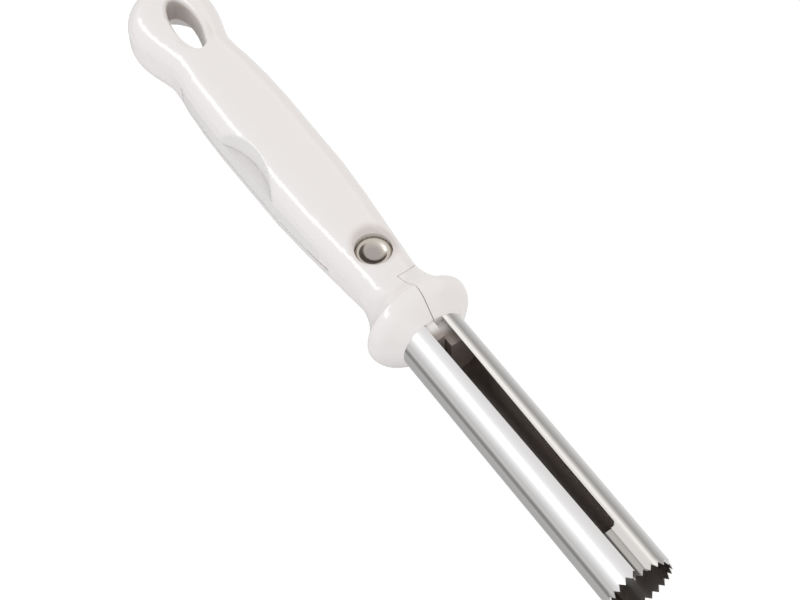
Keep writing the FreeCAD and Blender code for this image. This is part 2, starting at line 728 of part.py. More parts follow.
def build_jaw(outer, blade):
    tongueEnd = "dims.shoulderRadius + dims.tongueOverlap - dims.pinSetback"
    tongueStart = "dims.tongueStart - dims.pinSetback"
    past = "dims.collarRadius + dims.pastForm"
    frontEnd = "dims.plugReach + dims.pastForm"
    front = prism(
        "jaw_half",
        [
            ("-dims.pinSetback", "dims.seamGap / 2"),
            ("-dims.pinSetback / 2", "dims.seamGap / 2"),
            (frontEnd, "dims.seamGap / 2 + dims.seamFlare"),
            (frontEnd, past),
            ("-dims.pinSetback", past),
        ],
        past,
    )
    disc = pin_cylinder("shoulder_gap", "dims.shoulderRadius + dims.seamGap", past + " + dims.pastForm")
    frontHalf = common("jaw_front", outer, cut("jaw_zone", front, disc))
    hub = pin_cylinder("hub", "dims.hubRadius", "dims.hubHalfHeight")
    tongue = prism(
        "tongue",
        [
            (tongueStart, "dims.seamGap / 2"),
            (tongueEnd, "dims.seamGap / 2"),
            (tongueEnd, "dims.tongueHalfWidth"),
            (tongueStart, "dims.tongueHalfWidth"),
        ],
        "dims.hubHalfHeight",
    )
    form = new_body("lever_form")
    loft(form, "lever", leverStations, draw_lever_section, ruled=True)
    angle = "dims.leverNeckAngle * 1deg"
    neck, skin = lever_prisms("lever", "dims.hubHalfHeight", "0", "dims.leverShoulder", angle)
    lever = common("lever_bar_trimmed", form, fuse("lever_plan", neck, skin))
    solid = fuse("jaw_solid", frontHalf, hub, tongue, lever)
    bore = pin_cylinder("hub_bore", "dims.rivetRadius + dims.rivetFit", "dims.collarRadius")
    # the jaw's half of the plug is flat above and below, clear of the slots
    flats = []
    for side, base in (("Upper", "dims.plugFlat"), ("Lower", "-dims.plugFlat - dims.pastForm")):
        flats.append(
            bind(
                doc.addObject("Part::Box", "plugFlat" + side),
                Length="dims.plugReach + dims.pastForm",
                Width="dims.tubeDiameter / 2",
                Height="dims.pastForm",
                Placement_Base_z=base,
            )
        )
    jaw = cut("jaw_lever", solid, fuse("jaw_tools", bore, blade, *flats))
    jaw.Label = "jaw_lever"
    return jaw


def build_plug(outer):
    # the round plug inside the tube's root is part of both mouldings
    sketch = body_sketch(outer, "plugCircle", "YZ_Plane", "-dims.tubeRoot")
    draw_circle(sketch, innerRadius)
    pad(outer, "plug", sketch, "dims.tubeRoot + dims.plugReach")
    doc.recompute()


def draw_rivet(sketch, shank, end, bored):
    # half of a rivet's section: a dished head above its seat and a shank below, bored from its end if asked
    top = "dims.rivetSeat + dims.rivetHeadHeight"
    points = [
        ("0", top + " - dims.rivetDishDepth"),
        ("dims.rivetDishFloor", top + " - dims.rivetDishDepth"),
        ("dims.rivetDishRadius", top),
        ("dims.rivetLandRadius", top),
        ("dims.rivetHeadRadius", "dims.rivetSeat + dims.rivetEdge"),
        ("dims.rivetHeadRadius", "dims.rivetSeat"),
        ("dims." + shank, "dims.rivetSeat"),
        ("dims." + shank, "-dims." + end),
    ]
    if bored:
        points.append(("dims.rivetBore", "-dims." + end))
        points.append(("dims.rivetBore", "dims.rivetBoreFloor"))
        points.append(("0", "dims.rivetBoreFloor"))
    else:
        points.append(("0", "-dims." + end))
    draw_outline(sketch, points)


def build_rivet(name, shank, end, bored, turn):
    body = new_body(name)
    sketch = body_sketch(body, name + "Profile", "XZ_Plane")
    draw_rivet(sketch, shank, end, bored)
    feature = body.newObject("PartDesign::Revolution", name + "Turned")
    feature.Profile = sketch
    feature.ReferenceAxis = (sketch, ["V_Axis"])
    feature.Angle = 360.0
    body.Placement = FreeCAD.Placement(
        FreeCAD.Vector(-size_of("pinSetback"), 0, 0), FreeCAD.Rotation(FreeCAD.Vector(1, 0, 0), turn)
    )
    body.setExpression("Placement.Base.x", "-dims.pinSetback")
    return body


def check_and_write(labels):
    doc.recompute()
    for thing in doc.Objects:
        if "Invalid" in thing.State or "Error" in thing.State:
            raise ValueError("%s failed: %s" % (thing.Name, thing.State))
    os.makedirs("parts", exist_ok=True)
    for thing in labels:
        shape = thing.Shape
        if shape.isNull() or not shape.isValid():
            raise ValueError(thing.Label + " has no valid shape")
        print(thing.Label, "solids", len(shape.Solids), "volume %.1f" % shape.Volume)
        shape.exportStep("parts/" + thing.Label + ".step")


outerForm = build_outer_form()
build_plug(outerForm)
fixedBlade = build_fixed_blade()
movingBlade = build_moving_blade()
handle = build_handle(outerForm, fixedBlade)
jaw = build_jaw(outerForm, movingBlade)
barrel = build_rivet("rivet_barrel", "rivetRadius", "rivetSeat", True, 0)
stud = build_rivet("rivet_stud", "rivetBore", "rivetStudEnd", False, 180)
check_and_write([handle, jaw, fixedBlade, movingBlade, barrel, stud])
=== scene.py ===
import math

import bmesh
import bpy
from mathutils import Matrix, Vector


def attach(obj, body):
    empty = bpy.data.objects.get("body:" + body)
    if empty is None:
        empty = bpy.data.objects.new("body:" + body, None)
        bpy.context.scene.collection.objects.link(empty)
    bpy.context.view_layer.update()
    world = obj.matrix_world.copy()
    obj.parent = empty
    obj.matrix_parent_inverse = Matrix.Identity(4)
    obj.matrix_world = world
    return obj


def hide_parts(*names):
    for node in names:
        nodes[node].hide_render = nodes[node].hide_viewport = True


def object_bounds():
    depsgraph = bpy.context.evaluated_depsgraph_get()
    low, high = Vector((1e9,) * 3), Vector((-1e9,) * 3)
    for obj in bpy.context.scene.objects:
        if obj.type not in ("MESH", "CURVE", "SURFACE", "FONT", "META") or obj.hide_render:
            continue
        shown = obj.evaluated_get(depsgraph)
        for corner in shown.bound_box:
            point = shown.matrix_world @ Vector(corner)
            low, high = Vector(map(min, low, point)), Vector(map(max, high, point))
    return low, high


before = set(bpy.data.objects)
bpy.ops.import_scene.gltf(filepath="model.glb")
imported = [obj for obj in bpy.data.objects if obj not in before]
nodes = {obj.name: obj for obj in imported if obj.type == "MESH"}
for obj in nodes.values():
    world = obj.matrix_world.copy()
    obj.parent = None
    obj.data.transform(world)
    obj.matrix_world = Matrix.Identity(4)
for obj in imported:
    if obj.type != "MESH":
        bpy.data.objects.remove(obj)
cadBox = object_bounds()
pivot = -0.028  # the rivet's place along the object
print("frame loaded:", ", ".join(sorted(nodes)))


# small helpers for node trees

def newMaterial(name):
    material = bpy.data.materials.new(name)
    material.use_nodes = True
    tree = material.node_tree
    return material, tree, tree.nodes["Principled BSDF"]


def addNode(tree, kind, **values):
    node = tree.nodes.new(kind)
    for name, value in values.items():
        setattr(node, name, value)
    return node


def setInputs(node, **values):
    for name, value in values.items():
        node.inputs[name.replace("_", " ")].default_value = value


# a socket takes either another node's output or a fixed value
def feed(tree, value, socket):
    if hasattr(value, "is_output"):
        tree.links.new(value, socket)
    else:
        socket.default_value = value


def mathNode(tree, operation, first, second=None, clamp=False):
    node = addNode(tree, "ShaderNodeMath", operation=operation, use_clamp=clamp)
    feed(tree, first, node.inputs[0])
    if second is not None:
        feed(tree, second, node.inputs[1])
    return node.outputs[0]


def product(tree, first, *others):
    for other in others:
        first = mathNode(tree, "MULTIPLY", first, other)
    return first


def vectorNode(tree, operation, first, second=None):
    node = addNode(tree, "ShaderNodeVectorMath", operation=operation)
    feed(tree, first, node.inputs[0])
    if second is not None:
        feed(tree, second, node.inputs[1])
    return node.outputs


def objectPlace(tree):
    return addNode(tree, "ShaderNodeTexCoord").outputs["Object"]


def splitPlace(tree, place):
    node = addNode(tree, "ShaderNodeSeparateXYZ")
    tree.links.new(place, node.inputs[0])
    return node.outputs


# rises from 0 at the first bound to 1 at the second, which may be the lower one
def softStep(tree, value, start, full):
    step = addNode(tree, "ShaderNodeMapRange", interpolation_type="SMOOTHSTEP")
    feed(tree, start, step.inputs["From Min"])
    feed(tree, full, step.inputs["From Max"])
    tree.links.new(value, step.inputs["Value"])
    return step.outputs["Result"]


# distance in plan from a point of the object
def planDistance(tree, place, x, y):
    flat = vectorNode(tree, "MULTIPLY", place, (1, 1, 0))["Vector"]
    return vectorNode(tree, "DISTANCE", flat, (x, y, 0))["Value"]


def tinted(tree, colour, tone):
    node = addNode(tree, "ShaderNodeVectorMath", operation="SCALE")
    node.inputs[0].default_value = colour
    tree.links.new(tone, node.inputs["Scale"])
    return node.outputs[0]


def mixColours(tree, share, first, second):
    mix = addNode(tree, "ShaderNodeMix", data_type="RGBA")
    for value, socket in ((share, mix.inputs[0]), (first, mix.inputs[6]), (second, mix.inputs[7])):
        if hasattr(value, "is_output"):
            tree.links.new(value, socket)
        else:
            socket.default_value = (*value, 1.0)
    return mix.outputs[2]


def addBump(tree, shader, height, strength, depth):
    bump = addNode(tree, "ShaderNodeBump")
    setInputs(bump, Strength=strength, Distance=depth)
    tree.links.new(height, bump.inputs["Height"])
    tree.links.new(bump.outputs["Normal"], shader.inputs["Normal"])


def makeGroup(name, inputs, outputs):
    group = bpy.data.node_groups.new(name, "ShaderNodeTree")
    for label, kind, default in inputs:
        socket = group.interface.new_socket(label, in_out="INPUT", socket_type=kind)
        if default is not None:
            socket.default_value = default
    for label, kind in outputs:
        group.interface.new_socket(label, in_out="OUTPUT", socket_type=kind)
    return group, group.nodes.new("NodeGroupInput").outputs, group.nodes.new("NodeGroupOutput").inputs


def placeGroup(tree, group, **values):
    node = addNode(tree, "ShaderNodeGroup", node_tree=group)
    for name, value in values.items():
        feed(tree, value, node.inputs[name])
    return node.outputs


noise = {
    "middle": 0.5,  # the value round which a noise texture varies
    "broadShare": 0.12,  # scale of the cloudy tone as a share of the fine spots' scale
    "broad": {"Detail": 3.0, "Roughness": 0.5},
    "fine": {"Detail": 2.0, "Roughness": 0.6},
    "streak": {"Scale": 1.0, "Detail": 4.0, "Roughness": 0.62},
}


def noiseNode(tree, name, place):
    node = addNode(tree, "ShaderNodeTexNoise")
    setInputs(node, **noise[name])
    tree.links.new(place, node.inputs["Vector"])
    return node


# fine unevenness of a surface: cloudy tone, spotted gloss and a shallow height, all from one place
def makeSurfaceGroup():
    group, given, put = makeGroup(
        "surfaceUnevenness",
        [
            ("Vector", "NodeSocketVector", None),
            ("Scale", "NodeSocketFloat", 200.0),
            ("Tone", "NodeSocketFloat", 0.02),
            ("Gloss", "NodeSocketFloat", 0.2),
            ("GlossSpread", "NodeSocketFloat", 0.05),
        ],
        [("Tone", "NodeSocketFloat"), ("Roughness", "NodeSocketFloat"), ("Height", "NodeSocketFloat")],
    )
    broad = noiseNode(group, "broad", given["Vector"])
    fine = noiseNode(group, "fine", given["Vector"])
    group.links.new(product(group, given["Scale"], noise["broadShare"]), broad.inputs["Scale"])
    group.links.new(given["Scale"], fine.inputs["Scale"])
    cloud = mathNode(group, "SUBTRACT", broad.outputs["Fac"], noise["middle"])
    tone = mathNode(group, "ADD", product(group, cloud, given["Tone"]), 1.0)
    speck = mathNode(group, "SUBTRACT", fine.outputs["Fac"], noise["middle"])
    gloss = product(group, mathNode(group, "ADD", cloud, speck), given["GlossSpread"])
    group.links.new(tone, put["Tone"])
    group.links.new(mathNode(group, "ADD", given["Gloss"], gloss, clamp=True), put["Roughness"])
    group.links.new(fine.outputs["Fac"], put["Height"])
    return group


# grain that runs one way: streaks from noise stretched along the first axis
def makeGrainGroup():
    group, given, put = makeGroup(
        "lengthwiseGrain",
        [
            ("Vector", "NodeSocketVector", None),
            ("Stretch", "NodeSocketVector", (6.0, 900.0, 900.0)),
            ("Gloss", "NodeSocketFloat", 0.15),
            ("GlossSpread", "NodeSocketFloat", 0.1),
        ],
        [("Streak", "NodeSocketFloat"), ("Roughness", "NodeSocketFloat")],
    )
    squashed = vectorNode(group, "MULTIPLY", given["Vector"], given["Stretch"])["Vector"]
    streak = noiseNode(group, "streak", squashed).outputs["Fac"]
    gloss = product(group, mathNode(group, "SUBTRACT", streak, noise["middle"]), given["GlossSpread"])
    group.links.new(streak, put["Streak"])
    group.links.new(mathNode(group, "ADD", given["Gloss"], gloss, clamp=True), put["Roughness"])
    return group


# 1 within the given radius of the tube's axis, from a start along it to the full effect
def makeInsideGroup():
    group, given, put = makeGroup(
        "insideTube",
        [
            ("Vector", "NodeSocketVector", None),
            ("Radius", "NodeSocketFloat", 0.009),
            ("Start", "NodeSocketFloat", -1.0),
            ("Full", "NodeSocketFloat", -0.9),
        ],
        [("Mask", "NodeSocketFloat")],
    )
    flat = vectorNode(group, "MULTIPLY", given["Vector"], (0, 1, 1))["Vector"]
    within = mathNode(group, "LESS_THAN", vectorNode(group, "LENGTH", flat)["Value"], given["Radius"])
    along = splitPlace(group, given["Vector"])["X"]
    past = softStep(group, along, given["Start"], given["Full"])
    group.links.new(product(group, within, past), put["Mask"])
    return group


insideGroup = makeInsideGroup()
surfaceGroup = makeSurfaceGroup()
grainGroup = makeGrainGroup()


moulding = {
    "colour": (0.812, 0.785, 0.772),
    "cloudiness": 0.02,
    "roughness": 0.18,
    "roughnessSpread": 0.05,
    "refraction": 1.49,
    "orangePeelScale": 900.0,
    "orangePeelDepth": 0.00002,
    "orangePeelStrength": 0.3,
    # the plug inside the tube, and the painted shade that darkens it
    "plugRadius": 0.0093,
    "plugStart": 0.0012,
    "plugFull": 0.0046,
    "plugShadeColour": (0.30, 0.25, 0.225),
    # painted shade round the rivet's recess in the skin
    "rivetShadePlace": (-0.0290, 0.0008),
    "rivetShadeReach": (0.0078, 0.0048),
    "rivetShadeShare": 0.42,
    "rivetShadeColour": (0.40, 0.32, 0.27),
    # painted shade on the lever and the notch's face, in plan and in height
    "leverShadeEnds": ((-0.1102, -0.1100), (-0.0403, -0.0405)),
    "leverShadeSide": (-0.0060, -0.0062),
    "leverShadeHeight": (0.00291, 0.00289),
    "notchShadePlace": (-0.07350, -0.03200),
    "notchShadeReach": (0.0250, 0.0241),
    "leverShadeColour": (0.765, 0.750, 0.742),
    # painted shade on the hanging hole's wall, within the oval round the hanging hole: its middle, one over
    # its half sizes, and the heights of the wall's top
    "holePlace": (-0.1245, 0.0003, 0.0),
    "holeScale": (80.0, 170.0, 0.0),
    "holeTop": (0.0104, 0.0088),
    "holeShadeShare": 0.6,
    "holeShadeColour": (0.46, 0.40, 0.36),
}


def makeMouldingMaterial():
    material, tree, shader = newMaterial("whiteMoulding")
    place = objectPlace(tree)
    spot = splitPlace(tree, place)
    uneven = placeGroup(
        tree, surfaceGroup, Vector=place, Scale=moulding["orangePeelScale"], Tone=moulding["cloudiness"],
        Gloss=moulding["roughness"], GlossSpread=moulding["roughnessSpread"],
    )
    colour = tinted(tree, moulding["colour"], uneven["Tone"])
    # the plug inside the tube is darkened brown: painted shade
    plug = placeGroup(
        tree, insideGroup, Vector=place, Radius=moulding["plugRadius"], Start=moulding["plugStart"],
        Full=moulding["plugFull"],
    )
    colour = mixColours(tree, plug["Mask"], colour, moulding["plugShadeColour"])
    # and painted shade round the rivet's recess, behind the rivet's head
    near = softStep(tree, planDistance(tree, place, *moulding["rivetShadePlace"]), *moulding["rivetShadeReach"])
    colour = mixColours(tree, product(tree, near, moulding["rivetShadeShare"]), colour, moulding["rivetShadeColour"])
    # painted shade: the lever and the notch's face are a little greyer than the skin
    start, end = (softStep(tree, spot["X"], *pair) for pair in moulding["leverShadeEnds"])
    side = softStep(tree, spot["Y"], *moulding["leverShadeSide"])
    flat = softStep(tree, mathNode(tree, "ABSOLUTE", spot["Z"]), *moulding["leverShadeHeight"])
    lever = product(tree, start, end, side, flat)
    notch = softStep(tree, planDistance(tree, place, *moulding["notchShadePlace"]), *moulding["notchShadeReach"])
    upper = mathNode(tree, "GREATER_THAN", spot["Z"], moulding["leverShadeHeight"][0])
    leverNotchShade = mathNode(tree, "MAXIMUM", lever, product(tree, notch, upper))
    colour = mixColours(tree, leverNotchShade, colour, moulding["leverShadeColour"])
    # the hanging hole's wall is darker: painted shade
    aside = vectorNode(tree, "SUBTRACT", place, moulding["holePlace"])["Vector"]
    reach = vectorNode(tree, "MULTIPLY", aside, moulding["holeScale"])["Vector"]
    within = mathNode(tree, "LESS_THAN", vectorNode(tree, "LENGTH", reach)["Value"], 1.0)
    below = softStep(tree, spot["Z"], *moulding["holeTop"])
    wall = product(tree, within, below, moulding["holeShadeShare"])
    colour = mixColours(tree, wall, colour, moulding["holeShadeColour"])
    tree.links.new(colour, shader.inputs["Base Color"])
    tree.links.new(uneven["Roughness"], shader.inputs["Roughness"])
    addBump(tree, shader, uneven["Height"], moulding["orangePeelStrength"], moulding["orangePeelDepth"])
    shader.inputs["IOR"].default_value = moulding["refraction"]
    return material


bladeSteel = {
    "colour": (0.75, 0.742, 0.735),
    "roughness": 0.13,
    "roughnessSpread": 0.06,
    "grainStretch": (5.0, 1400.0, 1400.0),
    "grainDepth": 0.000004,
    "grainStrength": 0.4,
    # the sheet's inside is rougher, and its colour is painted shade
    "insideRadius": 0.00896,
    "insideShadeColour": (0.40, 0.365, 0.345),
    "insideDulling": 0.2,
    # painted shade on the lips' outer faces, and a painted shadow beside the half that they tuck under
    "lipStart": 0.0733,
    "lipFull": 0.0734,
    "lipRadius": 0.0087,
    "lipHalf": 0.003,
    "lipStripShade": (0.50, 0.49, 0.47),
    "lipShade": (-0.0011, -0.0016),
    "lipShadeColour": (0.10, 0.095, 0.09),
}


def makeBladeMaterial():
    material, tree, shader = newMaterial("bladeSteel")
    place = objectPlace(tree)
    side = splitPlace(tree, place)["Y"]
    grain = placeGroup(
        tree, grainGroup, Vector=place, Stretch=bladeSteel["grainStretch"],
        Gloss=bladeSteel["roughness"], GlossSpread=bladeSteel["roughnessSpread"],
    )
    # the sheet's inside, with the tucked lips, is unpolished and rougher, and its colour is darkened as
    # painted shade
    inside = placeGroup(tree, insideGroup, Vector=place, Radius=bladeSteel["insideRadius"])["Mask"]
    colour = mixColours(tree, inside, bladeSteel["colour"], bladeSteel["insideShadeColour"])
    # the lips' outer faces get a lighter painted shade, and a darker painted shadow beside the half that they
    # tuck under
    lips = placeGroup(
        tree, insideGroup, Vector=place, Radius=bladeSteel["insideRadius"], Start=bladeSteel["lipStart"],
        Full=bladeSteel["lipFull"],
    )["Mask"]
    deeper = placeGroup(tree, insideGroup, Vector=place, Radius=bladeSteel["lipRadius"])["Mask"]
    outer = mathNode(tree, "SUBTRACT", lips, deeper, clamp=True)
    middle = mathNode(tree, "LESS_THAN", mathNode(tree, "ABSOLUTE", side), bladeSteel["lipHalf"])
    patch = product(tree, outer, middle)
    colour = mixColours(tree, patch, colour, bladeSteel["lipStripShade"])
    shade = product(tree, patch, softStep(tree, side, *bladeSteel["lipShade"]))
    colour = mixColours(tree, shade, colour, bladeSteel["lipShadeColour"])
    tree.links.new(colour, shader.inputs["Base Color"])
    shader.inputs["Metallic"].default_value = 1.0
    dulling = product(tree, inside, bladeSteel["insideDulling"])
    tree.links.new(mathNode(tree, "ADD", grain["Roughness"], dulling), shader.inputs["Roughness"])
    addBump(tree, shader, grain["Streak"], bladeSteel["grainStrength"], bladeSteel["grainDepth"])
    return material


rivetSteel = {
    "colour": (0.60, 0.55, 0.49),
    "spotScale": 900.0,
    "cloudiness": 0.05,
    "roughness": 0.26,
    "roughnessSpread": 0.03,
    # a dish darkened as painted shade, and a darker crescent of painted shade in it between two circles, all
    # given in plan
    "dishPlace": (-0.0281, -0.0002),
    "dishReach": (0.0041, 0.0015),
    "dishShadeColour": (0.42, 0.39, 0.37),
    "shadeCrescentOuter": ((-0.0277, -0.0004), (0.00390, 0.00365)),
    "shadeCrescentInner": ((-0.0285, 0.0011), (0.0029, 0.0037)),
    "shadeCrescentColour": (0.05, 0.042, 0.037),
    "shadeCrescentShare": 0.92,
}


def makeRivetMaterial():
    material, tree, shader = newMaterial("rivetSteel")
    place = objectPlace(tree)
    uneven = placeGroup(
        tree, surfaceGroup, Vector=place, Scale=rivetSteel["spotScale"], Tone=rivetSteel["cloudiness"],
        Gloss=rivetSteel["roughness"], GlossSpread=rivetSteel["roughnessSpread"],
    )
    colour = tinted(tree, rivetSteel["colour"], uneven["Tone"])
    # painted shade darkens the dish
    dish = softStep(tree, planDistance(tree, place, *rivetSteel["dishPlace"]), *rivetSteel["dishReach"])
    colour = mixColours(tree, dish, colour, rivetSteel["dishShadeColour"])
    # and a crescent of painted shade lies in it
    circles = (rivetSteel["shadeCrescentOuter"], rivetSteel["shadeCrescentInner"])
    within, beyond = (softStep(tree, planDistance(tree, place, *middle), *reach) for middle, reach in circles)
    dark = product(tree, within, beyond, rivetSteel["shadeCrescentShare"])
    colour = mixColours(tree, dark, colour, rivetSteel["shadeCrescentColour"])
    tree.links.new(colour, shader.inputs["Base Color"])
    shader.inputs["Metallic"].default_value = 1.0
    tree.links.new(uneven["Roughness"], shader.inputs["Roughness"])
    return material


mouldingMaterial = makeMouldingMaterial()
bladeMaterial = makeBladeMaterial()
rivetMaterial = makeRivetMaterial()
print("materials made")


def placeMesh(bm, name, material=None):
    mesh = bpy.data.meshes.new(name)
    bm.to_mesh(mesh)
    bm.free()
    if material:
        mesh.materials.append(material)
    thing = bpy.data.objects.new(name, mesh)
    bpy.context.scene.collection.objects.link(thing)
    return thing


# the end lobe is hollow below, so that light comes up through the hanging hole, whose rims are rolled
lobe = {
    "hollowMiddle": (-0.1290, 0.0, -0.0110),
    "hollowHalf": (0.0138, 0.0106, 0.0142),
    "hollowSegments": (48, 24),
    "holeMiddle": (-0.1245, 0.0003),
    "holeHalf": (0.0102, 0.0036),
    "holeTurn": -6.0,
    "holeSteps": 72,
    # the hole's rings: height, and how far it has grown there
    "holeRings": (
        (-0.0130, 0.0024), (-0.0108, 0.0006), (-0.0096, 0.0), (0.0088, 0.0), (0.0094, 0.00010),
        (0.0100, 0.00035), (0.0106, 0.00085), (0.0112, 0.0016), (0.0130, 0.0042),
    ),
}


def hollowForm():
    bm = bmesh.new()
    across, upward = lobe["hollowSegments"]
    bmesh.ops.create_uvsphere(bm, u_segments=across, v_segments=upward, radius=1.0)
    bmesh.ops.scale(bm, vec=lobe["hollowHalf"], verts=bm.verts)
    bmesh.ops.translate(bm, vec=lobe["hollowMiddle"], verts=bm.verts)
    bmesh.ops.recalc_face_normals(bm, faces=bm.faces)
    return placeMesh(bm, "hollowForm")


def holeForm():
    bm = bmesh.new()
    rings = lobe["holeRings"]
    turned = Matrix.Rotation(math.radians(lobe["holeTurn"]), 3, "Z")
    last = None
    for number, (height, grown) in enumerate(rings):
        ends = number in (0, len(rings) - 1)
        ring = bmesh.ops.create_circle(bm, cap_ends=ends, radius=1.0, segments=lobe["holeSteps"])["verts"]
        halfLong, halfWide = (half + grown for half in lobe["holeHalf"])
        bmesh.ops.scale(bm, vec=(halfLong, halfWide, 1.0), verts=ring)
        bmesh.ops.rotate(bm, verts=ring, cent=(0, 0, 0), matrix=turned)
        bmesh.ops.translate(bm, vec=(*lobe["holeMiddle"], height), verts=ring)
        loop = list({edge for vert in ring for edge in vert.link_edges})
        if last:
            bmesh.ops.bridge_loops(bm, edges=last + loop)
        last = loop
    bmesh.ops.recalc_face_normals(bm, faces=bm.faces)
    return placeMesh(bm, "holeForm")


def carve(mesh, forms):
    block = bpy.data.objects.new("carved", mesh)
    bpy.context.scene.collection.objects.link(block)
    for form in forms:
        cut = block.modifiers.new(form.name, "BOOLEAN")
        cut.operation = "DIFFERENCE"
        cut.solver = "EXACT"
        cut.object = form
    bpy.context.view_layer.update()
    result = bpy.data.meshes.new_from_object(block.evaluated_get(bpy.context.evaluated_depsgraph_get()))
    for item in (*forms, block):
        bpy.data.objects.remove(item)
    return result


# the jaw fills its channel and its seams more closely than the solid does: each pair is a size or place
# of the solid and the one that the render asks for, or the shift that takes it there
jawFit = {
    "nearness": 0.00003,
    "leverStart": -0.0355,
    "leverFace": (0.0014, 0.00276),
    "leverTop": (0.0026, 0.00284),
    "leverFront": (0.0128, 0.01265),
    "leverElbow": -0.0445,
    "leverSide": (-0.006, -0.0004),
    "leverTail": (-0.1095, -0.00022),
    "seamStart": -0.0252,
    "seam": (0.00045, -0.00006),
    "shoulder": (0.01146, 0.01142),
}


# moves a point that lies at one radius of the rivet's axis to another radius
def moveToRadius(place, radius, newRadius):
    arm = Vector((place.x - pivot, place.y))
    if abs(arm.length - radius) >= jawFit["nearness"]:
        return False
    arm *= newRadius / arm.length
    place.x, place.y = pivot + arm.x, arm.y
    return True


def reshapeJaw(bm):
    tail, tailShift = jawFit["leverTail"]
    side, sideShift = jawFit["leverSide"]
    seamSide, seamShift = jawFit["seam"]
    for vert in bm.verts:
        place = vert.co
        if place.x < jawFit["leverStart"]:
            for size, bigger in (jawFit["leverFace"], jawFit["leverTop"]):
                if abs(abs(place.z) - size) < jawFit["nearness"]:
                    place.z = math.copysign(bigger, place.z)
                    break
            moved = moveToRadius(place, *jawFit["leverFront"])
            if not moved and place.x < jawFit["leverElbow"] and place.y < side:
                place.y += sideShift
            if place.x < tail:
                place.x += tailShift
        elif place.x > jawFit["seamStart"]:
            if 0 < place.y < seamSide:
                place.y += seamShift
            moveToRadius(place, *jawFit["shoulder"])


# the slot ends a little nearer the teeth
movingBladeFit = {
    "slotEnd": (0.0715, 0.0736),
    "slotHalf": 0.0026,
    "shift": 0.0019,
}


def reshapeMovingBlade(bm):
    low, high = movingBladeFit["slotEnd"]
    for vert in bm.verts:
        if low < vert.co.x < high and abs(vert.co.y) < movingBladeFit["slotHalf"]:
            vert.co.x += movingBladeFit["shift"]


# the slot's edge on the fixed side lies a little further over
fixedBladeFit = {
    "side": -0.003,
    "reach": 0.085,
    "turn": 2.2,
}


def reshapeFixedBlade(bm):
    turned = Matrix.Rotation(math.radians(fixedBladeFit["turn"]), 3, "X")
    for vert in bm.verts:
        place = vert.co
        if place.z > 0 and place.y > fixedBladeFit["side"] and place.x < fixedBladeFit["reach"]:
            vert.co = turned @ place


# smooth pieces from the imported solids: joined up, flat areas made whole, and sharp outward rims rounded off
softRims = {
    "joinDistance": 0.000002,
    "sliver": 0.000001,
    "flatAngle": 0.4,
    "rimAngle": 30.0,
    "mouldingRim": 0.00008,
    "rimSteps": 2,
    "sharpAngle": 38.0,
}


def joinPoints(bm):
    bmesh.ops.remove_doubles(bm, verts=bm.verts, dist=softRims["joinDistance"])


def joinNode(name):
    bm = bmesh.new()
    bm.from_mesh(nodes[name].data)
    joinPoints(bm)
    mesh = bpy.data.meshes.new(name + "Joined")
    bm.to_mesh(mesh)
    bm.free()
    return mesh


def roundRims(bm, rim):
    limit = math.radians(softRims["rimAngle"])
    outward = [edge for edge in bm.edges if edge.is_manifold and edge.is_convex]
    bmesh.ops.bevel(
        bm, geom=[edge for edge in outward if edge.calc_face_angle() > limit], offset=rim,
        offset_type="OFFSET", affect="EDGES", segments=softRims["rimSteps"], profile=0.5, material=-1,
        clamp_overlap=False, miter_outer="ARC", loop_slide=False,
    )


def shadeSmooth(bm):
    sharp = math.radians(softRims["sharpAngle"])
    for face in bm.faces:
        face.smooth = True
    for edge in bm.edges:
        edge.smooth = not edge.is_manifold or edge.calc_face_angle() < sharp


def makeSmoothPiece(name, title, material, body, rim=0, forms=(), reshape=None):
    source = joinNode(name)
    if forms:
        source = carve(source, [form() for form in forms])
    bm = bmesh.new()
    bm.from_mesh(source)
    if reshape:
        reshape(bm)
    joinPoints(bm)
    bmesh.ops.dissolve_limit(
        bm, angle_limit=math.radians(softRims["flatAngle"]), verts=bm.verts, edges=bm.edges,
        use_dissolve_boundaries=False,
    )
    if rim:
        roundRims(bm, rim)
    bmesh.ops.triangulate(bm, faces=bm.faces)
    bmesh.ops.remove_doubles(bm, verts=bm.verts, dist=softRims["sliver"])
    bmesh.ops.dissolve_degenerate(bm, dist=softRims["sliver"], edges=bm.edges)
    shadeSmooth(bm)
    print(title, "faces", len(bm.faces), "open edges", sum(not edge.is_manifold for edge in bm.edges))
    piece = placeMesh(bm, title, material)
    shading = piece.modifiers.new("evenShading", "WEIGHTED_NORMAL")
    shading.keep_sharp = True
    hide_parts(name)
    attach(piece, body)


makeSmoothPiece(
    "handle", "handleMoulding", mouldingMaterial, "handle",
    rim=softRims["mouldingRim"], forms=(hollowForm, holeForm),
)
makeSmoothPiece(
    "jaw_lever", "jawMoulding", mouldingMaterial, "jaw",
    rim=softRims["mouldingRim"], reshape=reshapeJaw,
)
makeSmoothPiece(
    "fixed_blade", "fixedBlade", bladeMaterial, "handle", reshape=reshapeFixedBlade,
)
makeSmoothPiece(
    "moving_blade", "movingBlade", bladeMaterial, "jaw", reshape=reshapeMovingBlade,
)


# the two halves of the rivet are turned: half sections as radius and height above the tube's axis
rivet = {
    "steps": 96,
    "head": (
        (0.0, 0.00695), (0.0008, 0.00697), (0.0016, 0.00705), (0.0023, 0.00722), (0.0029, 0.00752),
        (0.0034, 0.00790), (0.0038, 0.00816), (0.0041, 0.00828), (0.0044, 0.00828), (0.0047, 0.00814),
        (0.0050, 0.00782), (0.0051, 0.00750), (0.0051, 0.00702),
    ),
    "barrel": ((0.0025, 0.00702), (0.0025, -0.00695), (0.0016, -0.00695), (0.0016, 0.001), (0.0, 0.001)),
    "stud": ((0.0016, 0.00702), (0.0016, -0.0005), (0.0, -0.0005)),
}


